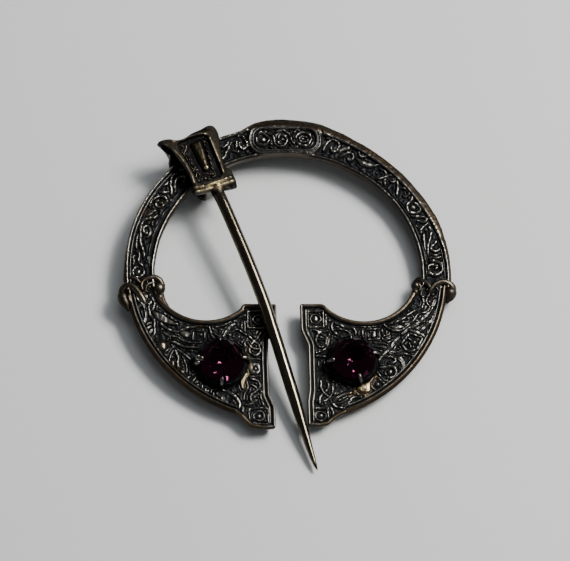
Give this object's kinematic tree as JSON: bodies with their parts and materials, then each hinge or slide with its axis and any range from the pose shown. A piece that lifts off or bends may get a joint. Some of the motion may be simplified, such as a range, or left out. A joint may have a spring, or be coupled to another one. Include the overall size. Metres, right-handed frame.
{
  "type": "celtic penannular brooch",
  "caption": "Open ring brooch with flared knotwork terminals, claw-set round purple stones and a long pin whose shield head loops round the hoop.",
  "frame": {"origin": "centre of the hoop, on the plane of the terminals' flat backs", "axes": "+Z out of the decorated front, +Y towards the cartouche opposite the gap, +X to the right seen from the front"},
  "size_m": [0.0519, 0.0583, 0.007],
  "materials": {
    "cast_metal": "dark oxidised silver plate over brass, worn bright and brown on the raised edges",
    "pin_metal": "oxidised silver plate over brass, polished along the shank",
    "stone_glass": "faceted dark purple glass, polished"
  },
  "bodies": {
    "brooch": {"frame": "cast_metal", "stone_left": "stone_glass", "stone_right": "stone_glass"},
    "pin": {"pin": "pin_metal"}
  },
  "joints": [
    {"name": "pin_swing", "type": "hinge", "parent": "brooch", "child": "pin", "pos_m": [-0.01307, 0.01832, 0.00115], "axis": [-0.8141, -0.5807, 0], "range_deg": [0, 30]}
  ]
}
